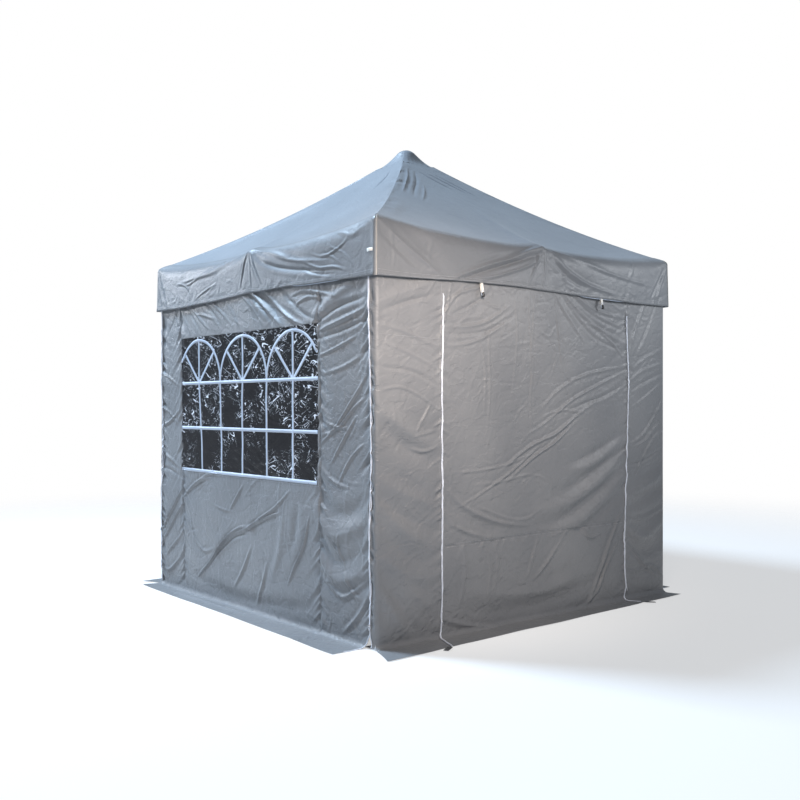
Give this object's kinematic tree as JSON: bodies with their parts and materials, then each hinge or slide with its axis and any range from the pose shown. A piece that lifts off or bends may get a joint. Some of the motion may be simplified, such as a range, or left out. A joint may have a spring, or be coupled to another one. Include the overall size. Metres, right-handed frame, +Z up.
{
  "type": "folding gazebo tent",
  "caption": "Square folding gazebo: scissor frame on four sliding legs, peaked roof with valances, four zipped side walls, roll-up door and arched clear windows.",
  "frame": {"origin": "centre of the square footprint, on the ground", "axes": "+Z up, the door wall faces -Y, a window wall faces -X"},
  "size_m": [2.92, 2.92, 3.05],
  "materials": {
    "frame_steel": "light grey powder coat on thin steel tube",
    "black_plastic": "moulded, slightly grained",
    "canopy_cloth": "grey coated polyester, satin, crumpled at the seams",
    "wall_cloth": "grey coated polyester, satin, soft folds",
    "clear_sheet": "clear flexible sheet with bluish white printed bars",
    "zip_metal": "dark enamel"
  },
  "bodies": {
    "leg_front_left": {"leg_front_left": "frame_steel"},
    "leg_front_right": {"leg_front_right": "frame_steel"},
    "leg_rear_left": {"leg_rear_left": "frame_steel"},
    "leg_rear_right": {"leg_rear_right": "frame_steel"},
    "inner_leg_front_left": {"inner_leg_front_left": "frame_steel"},
    "inner_leg_front_right": {"inner_leg_front_right": "frame_steel"},
    "inner_leg_rear_left": {"inner_leg_rear_left": "frame_steel"},
    "inner_leg_rear_right": {"inner_leg_rear_right": "frame_steel"},
    "slider_front_left": {"slider_front_left": "black_plastic"},
    "slider_front_right": {"slider_front_right": "black_plastic"},
    "slider_rear_left": {"slider_rear_left": "black_plastic"},
    "slider_rear_right": {"slider_rear_right": "black_plastic"},
    "front_bar_a1": {"front_bar_a1": "frame_steel"},
    "front_bar_a2": {"front_bar_a2": "frame_steel"},
    "front_bar_b1": {"front_bar_b1": "frame_steel"},
    "front_bar_b2": {"front_bar_b2": "frame_steel"},
    "right_bar_a1": {"right_bar_a1": "frame_steel"},
    "right_bar_a2": {"right_bar_a2": "frame_steel"},
    "right_bar_b1": {"right_bar_b1": "frame_steel"},
    "right_bar_b2": {"right_bar_b2": "frame_steel"},
    "left_bar_a1": {"left_bar_a1": "frame_steel"},
    "left_bar_a2": {"left_bar_a2": "frame_steel"},
    "left_bar_b1": {"left_bar_b1": "frame_steel"},
    "left_bar_b2": {"left_bar_b2": "frame_steel"},
    "rear_bar_a1": {"rear_bar_a1": "frame_steel"},
    "rear_bar_a2": {"rear_bar_a2": "frame_steel"},
    "rear_bar_b1": {"rear_bar_b1": "frame_steel"},
    "rear_bar_b2": {"rear_bar_b2": "frame_steel"},
    "side_front": {"mid_front": "black_plastic", "valance_front": "canopy_cloth", "wall_front": "wall_cloth"},
    "side_right": {"mid_right": "black_plastic", "valance_right": "canopy_cloth", "wall_right": "wall_cloth", "window_right": "clear_sheet"},
    "side_left": {"mid_left": "black_plastic", "valance_left": "canopy_cloth", "wall_left": "wall_cloth", "window_left": "clear_sheet"},
    "side_rear": {"mid_rear": "black_plastic", "valance_rear": "canopy_cloth", "wall_rear": "wall_cloth"},
    "strut_front": {"strut_front": "frame_steel"},
    "strut_right": {"strut_right": "frame_steel"},
    "strut_left": {"strut_left": "frame_steel"},
    "strut_rear": {"strut_rear": "frame_steel"},
    "mast": {"mast_hub": "black_plastic", "mast": "frame_steel", "apex_cap": "canopy_cloth"},
    "roof_front": {"roof_front": "canopy_cloth"},
    "roof_right": {"roof_right": "canopy_cloth"},
    "roof_left": {"roof_left": "canopy_cloth"},
    "roof_rear": {"roof_rear": "canopy_cloth"},
    "door": {"door_panel": "wall_cloth"},
    "door_zip_pull_left": {"door_zip_pull_left": "zip_metal"},
    "door_zip_pull_right": {"door_zip_pull_right": "zip_metal"},
    "corner_zip_pull_front_left": {"corner_zip_pull_front_left": "zip_metal"},
    "corner_zip_pull_front_right": {"corner_zip_pull_front_right": "zip_metal"},
    "corner_zip_pull_rear_left": {"corner_zip_pull_rear_left": "zip_metal"},
    "corner_zip_pull_rear_right": {"corner_zip_pull_rear_right": "zip_metal"}
  },
  "joints": [
    {"name": "frame_fold", "type": "hinge", "parent": "leg_front_left", "child": "front_bar_a1", "pos_m": [-1.145, -1.215, 2.19], "axis": [0, 1, 0], "range_deg": [0, 66.5], "deforming": ["roof_front", "valance_front", "wall_front", "roof_right", "valance_right", "wall_right", "roof_left", "valance_left", "wall_left", "roof_rear", "valance_rear", "wall_rear", "window_left", "window_right", "door_panel", "apex_cap"]},
    {"name": "front_pivot_b1", "type": "hinge", "parent": "front_bar_a1", "child": "front_bar_b1", "pos_m": [0, -1.215, 1.84], "axis": [0, 1, 0], "range_deg": [-133.01, 0]},
    {"name": "leg_pivot_front_right", "type": "hinge", "parent": "front_bar_b1", "child": "leg_front_right", "pos_m": [1.145, -1.215, 2.19], "axis": [0, 1, 0], "range_deg": [0, 66.5]},
    {"name": "front_pivot_a2", "type": "hinge", "parent": "front_bar_a1", "child": "front_bar_a2", "pos_m": [-0.5725, -1.215, 2.015], "axis": [0, 1, 0], "range_deg": [-133.01, 0]},
    {"name": "slider_pivot_front_left", "type": "hinge", "parent": "front_bar_a2", "child": "slider_front_left", "pos_m": [-1.145, -1.215, 1.84], "axis": [0, 1, 0], "range_deg": [0, 66.5]},
    {"name": "front_side_pivot", "type": "hinge", "parent": "front_bar_a2", "child": "side_front", "pos_m": [0, -1.215, 2.19], "axis": [0, 1, 0], "range_deg": [0, 66.5]},
    {"name": "front_pivot_b2", "type": "hinge", "parent": "front_bar_b1", "child": "front_bar_b2", "pos_m": [0.5725, -1.215, 2.015], "axis": [0, 1, 0], "range_deg": [0, 133.01]},
    {"name": "slider_pivot_front_right", "type": "hinge", "parent": "front_bar_b2", "child": "slider_front_right", "pos_m": [1.145, -1.215, 1.84], "axis": [0, 1, 0], "range_deg": [-66.5, 0]},
    {"name": "front_strut_pivot", "type": "hinge", "parent": "side_front", "child": "strut_front", "pos_m": [0, -1.18, 2.19], "axis": [-1, 0, 0], "range_deg": [0, 66.5]},
    {"name": "mast_pivot", "type": "hinge", "parent": "strut_front", "child": "mast", "pos_m": [0, -0.035, 1.84], "axis": [-1, 0, 0], "range_deg": [-66.5, 0]},
    {"name": "front_roof_fold", "type": "hinge", "parent": "side_front", "child": "roof_front", "pos_m": [0, -1.19, 2.28643], "axis": [-1, 0, 0], "range_deg": [0, 116.38]},
    {"name": "right_pivot_a1", "type": "hinge", "parent": "leg_front_right", "child": "right_bar_a1", "pos_m": [1.215, -1.145, 2.19], "axis": [-1, 0, 0], "range_deg": [0, 66.5]},
    {"name": "right_pivot_b1", "type": "hinge", "parent": "right_bar_a1", "child": "right_bar_b1", "pos_m": [1.215, 0, 1.84], "axis": [-1, 0, 0], "range_deg": [-133.01, 0]},
    {"name": "leg_pivot_rear_right", "type": "hinge", "parent": "right_bar_b1", "child": "leg_rear_right", "pos_m": [1.215, 1.145, 2.19], "axis": [-1, 0, 0], "range_deg": [0, 66.5]},
    {"name": "right_pivot_a2", "type": "hinge", "parent": "right_bar_a1", "child": "right_bar_a2", "pos_m": [1.215, -0.5725, 2.015], "axis": [-1, 0, 0], "range_deg": [-133.01, 0]},
    {"name": "right_side_pivot", "type": "hinge", "parent": "right_bar_a2", "child": "side_right", "pos_m": [1.215, 0, 2.19], "axis": [-1, 0, 0], "range_deg": [0, 66.5]},
    {"name": "right_pivot_b2", "type": "hinge", "parent": "right_bar_b1", "child": "right_bar_b2", "pos_m": [1.215, 0.5725, 2.015], "axis": [-1, 0, 0], "range_deg": [0, 133.01]},
    {"name": "slider_pivot_rear_right", "type": "hinge", "parent": "right_bar_b2", "child": "slider_rear_right", "pos_m": [1.215, 1.145, 1.84], "axis": [-1, 0, 0], "range_deg": [-66.5, 0]},
    {"name": "right_strut_pivot", "type": "hinge", "parent": "side_right", "child": "strut_right", "pos_m": [1.18, 0, 2.19], "axis": [0, -1, 0], "range_deg": [0, 66.5]},
    {"name": "right_roof_fold", "type": "hinge", "parent": "side_right", "child": "roof_right", "pos_m": [1.19, 0, 2.28643], "axis": [0, -1, 0], "range_deg": [0, 116.38]},
    {"name": "left_pivot_a1", "type": "hinge", "parent": "leg_front_left", "child": "left_bar_a1", "pos_m": [-1.215, -1.145, 2.19], "axis": [-1, 0, 0], "range_deg": [0, 66.5]},
    {"name": "left_pivot_b1", "type": "hinge", "parent": "left_bar_a1", "child": "left_bar_b1", "pos_m": [-1.215, 0, 1.84], "axis": [-1, 0, 0], "range_deg": [-133.01, 0]},
    {"name": "leg_pivot_rear_left", "type": "hinge", "parent": "left_bar_b1", "child": "leg_rear_left", "pos_m": [-1.215, 1.145, 2.19], "axis": [-1, 0, 0], "range_deg": [0, 66.5]},
    {"name": "left_pivot_a2", "type": "hinge", "parent": "left_bar_a1", "child": "left_bar_a2", "pos_m": [-1.215, -0.5725, 2.015], "axis": [-1, 0, 0], "range_deg": [-133.01, 0]},
    {"name": "left_side_pivot", "type": "hinge", "parent": "left_bar_a2", "child": "side_left", "pos_m": [-1.215, 0, 2.19], "axis": [-1, 0, 0], "range_deg": [0, 66.5]},
    {"name": "left_pivot_b2", "type": "hinge", "parent": "left_bar_b1", "child": "left_bar_b2", "pos_m": [-1.215, 0.5725, 2.015], "axis": [-1, 0, 0], "range_deg": [0, 133.01]},
    {"name": "slider_pivot_rear_left", "type": "hinge", "parent": "left_bar_b2", "child": "slider_rear_left", "pos_m": [-1.215, 1.145, 1.84], "axis": [-1, 0, 0], "range_deg": [-66.5, 0]},
    {"name": "left_strut_pivot", "type": "hinge", "parent": "side_left", "child": "strut_left", "pos_m": [-1.18, 0, 2.19], "axis": [0, 1, 0], "range_deg": [0, 66.5]},
    {"name": "left_roof_fold", "type": "hinge", "parent": "side_left", "child": "roof_left", "pos_m": [-1.19, 0, 2.28643], "axis": [0, 1, 0], "range_deg": [0, 116.38]},
    {"name": "rear_pivot_a1", "type": "hinge", "parent": "leg_rear_left", "child": "rear_bar_a1", "pos_m": [-1.145, 1.215, 2.19], "axis": [0, 1, 0], "range_deg": [0, 66.5]},
    {"name": "rear_pivot_b1", "type": "hinge", "parent": "rear_bar_a1", "child": "rear_bar_b1", "pos_m": [0, 1.215, 1.84], "axis": [0, 1, 0], "range_deg": [-133.01, 0]},
    {"name": "rear_pivot_a2", "type": "hinge", "parent": "rear_bar_a1", "child": "rear_bar_a2", "pos_m": [-0.5725, 1.215, 2.015], "axis": [0, 1, 0], "range_deg": [-133.01, 0]},
    {"name": "rear_side_pivot", "type": "hinge", "parent": "rear_bar_a2", "child": "side_rear", "pos_m": [0, 1.215, 2.19], "axis": [0, 1, 0], "range_deg": [0, 66.5]},
    {"name": "rear_pivot_b2", "type": "hinge", "parent": "rear_bar_b1", "child": "rear_bar_b2", "pos_m": [0.5725, 1.215, 2.015], "axis": [0, 1, 0], "range_deg": [0, 133.01]},
    {"name": "rear_strut_pivot", "type": "hinge", "parent": "side_rear", "child": "strut_rear", "pos_m": [0, 1.18, 2.19], "axis": [1, 0, 0], "range_deg": [0, 66.5]},
    {"name": "rear_roof_fold", "type": "hinge", "parent": "side_rear", "child": "roof_rear", "pos_m": [0, 1.19, 2.28643], "axis": [1, 0, 0], "range_deg": [0, 116.38]},
    {"name": "leg_slide_front_left", "type": "slide", "parent": "leg_front_left", "child": "inner_leg_front_left", "axis": [0, 0, 1], "range_m": [0, 0.8]},
    {"name": "leg_slide_front_right", "type": "slide", "parent": "leg_front_right", "child": "inner_leg_front_right", "axis": [0, 0, 1], "range_m": [0, 0.8]},
    {"name": "leg_slide_rear_left", "type": "slide", "parent": "leg_rear_left", "child": "inner_leg_rear_left", "axis": [0, 0, 1], "range_m": [0, 0.8]},
    {"name": "leg_slide_rear_right", "type": "slide", "parent": "leg_rear_right", "child": "inner_leg_rear_right", "axis": [0, 0, 1], "range_m": [0, 0.8]},
    {"name": "door_swing", "type": "hinge", "parent": "side_front", "child": "door", "pos_m": [0, -1.249, 1.872], "axis": [-1, 0, 0], "range_deg": [0, 75]},
    {"name": "door_zip_left", "type": "slide", "parent": "side_front", "child": "door_zip_pull_left", "axis": [0, 0, 1], "range_m": [0, 1.75]},
    {"name": "door_zip_right", "type": "slide", "parent": "side_front", "child": "door_zip_pull_right", "axis": [0, 0, 1], "range_m": [0, 1.75]},
    {"name": "corner_zip_front_left", "type": "slide", "parent": "side_left", "child": "corner_zip_pull_front_left", "axis": [0, 0, 1], "range_m": [0, 1.75]},
    {"name": "corner_zip_front_right", "type": "slide", "parent": "side_right", "child": "corner_zip_pull_front_right", "axis": [0, 0, 1], "range_m": [0, 1.75]},
    {"name": "corner_zip_rear_left", "type": "slide", "parent": "side_left", "child": "corner_zip_pull_rear_left", "axis": [0, 0, 1], "range_m": [0, 1.75]},
    {"name": "corner_zip_rear_right", "type": "slide", "parent": "side_right", "child": "corner_zip_pull_rear_right", "axis": [0, 0, 1], "range_m": [0, 1.75]}
  ],
  "couplings": [
    {"joint": "front_pivot_b1", "follows": "frame_fold", "ratio": -2},
    {"joint": "leg_pivot_front_right", "follows": "frame_fold", "ratio": 1},
    {"joint": "front_pivot_a2", "follows": "frame_fold", "ratio": -2},
    {"joint": "slider_pivot_front_left", "follows": "frame_fold", "ratio": 1},
    {"joint": "front_side_pivot", "follows": "frame_fold", "ratio": 1},
    {"joint": "front_pivot_b2", "follows": "frame_fold", "ratio": 2},
    {"joint": "slider_pivot_front_right", "follows": "frame_fold", "ratio": -1},
    {"joint": "front_strut_pivot", "follows": "frame_fold", "ratio": 1},
    {"joint": "mast_pivot", "follows": "frame_fold", "ratio": -1},
    {"joint": "front_roof_fold", "follows": "frame_fold", "ratio": 1.75},
    {"joint": "right_pivot_a1", "follows": "frame_fold", "ratio": 1},
    {"joint": "right_pivot_b1", "follows": "frame_fold", "ratio": -2},
    {"joint": "leg_pivot_rear_right", "follows": "frame_fold", "ratio": 1},
    {"joint": "right_pivot_a2", "follows": "frame_fold", "ratio": -2},
    {"joint": "right_side_pivot", "follows": "frame_fold", "ratio": 1},
    {"joint": "right_pivot_b2", "follows": "frame_fold", "ratio": 2},
    {"joint": "slider_pivot_rear_right", "follows": "frame_fold", "ratio": -1},
    {"joint": "right_strut_pivot", "follows": "frame_fold", "ratio": 1},
    {"joint": "right_roof_fold", "follows": "frame_fold", "ratio": 1.75},
    {"joint": "left_pivot_a1", "follows": "frame_fold", "ratio": 1},
    {"joint": "left_pivot_b1", "follows": "frame_fold", "ratio": -2},
    {"joint": "leg_pivot_rear_left", "follows": "frame_fold", "ratio": 1},
    {"joint": "left_pivot_a2", "follows": "frame_fold", "ratio": -2},
    {"joint": "left_side_pivot", "follows": "frame_fold", "ratio": 1},
    {"joint": "left_pivot_b2", "follows": "frame_fold", "ratio": 2},
    {"joint": "slider_pivot_rear_left", "follows": "frame_fold", "ratio": -1},
    {"joint": "left_strut_pivot", "follows": "frame_fold", "ratio": 1},
    {"joint": "left_roof_fold", "follows": "frame_fold", "ratio": 1.75},
    {"joint": "rear_pivot_a1", "follows": "frame_fold", "ratio": 1},
    {"joint": "rear_pivot_b1", "follows": "frame_fold", "ratio": -2},
    {"joint": "rear_pivot_a2", "follows": "frame_fold", "ratio": -2},
    {"joint": "rear_side_pivot", "follows": "frame_fold", "ratio": 1},
    {"joint": "rear_pivot_b2", "follows": "frame_fold", "ratio": 2},
    {"joint": "rear_strut_pivot", "follows": "frame_fold", "ratio": 1},
    {"joint": "rear_roof_fold", "follows": "frame_fold", "ratio": 1.75}
  ]
}
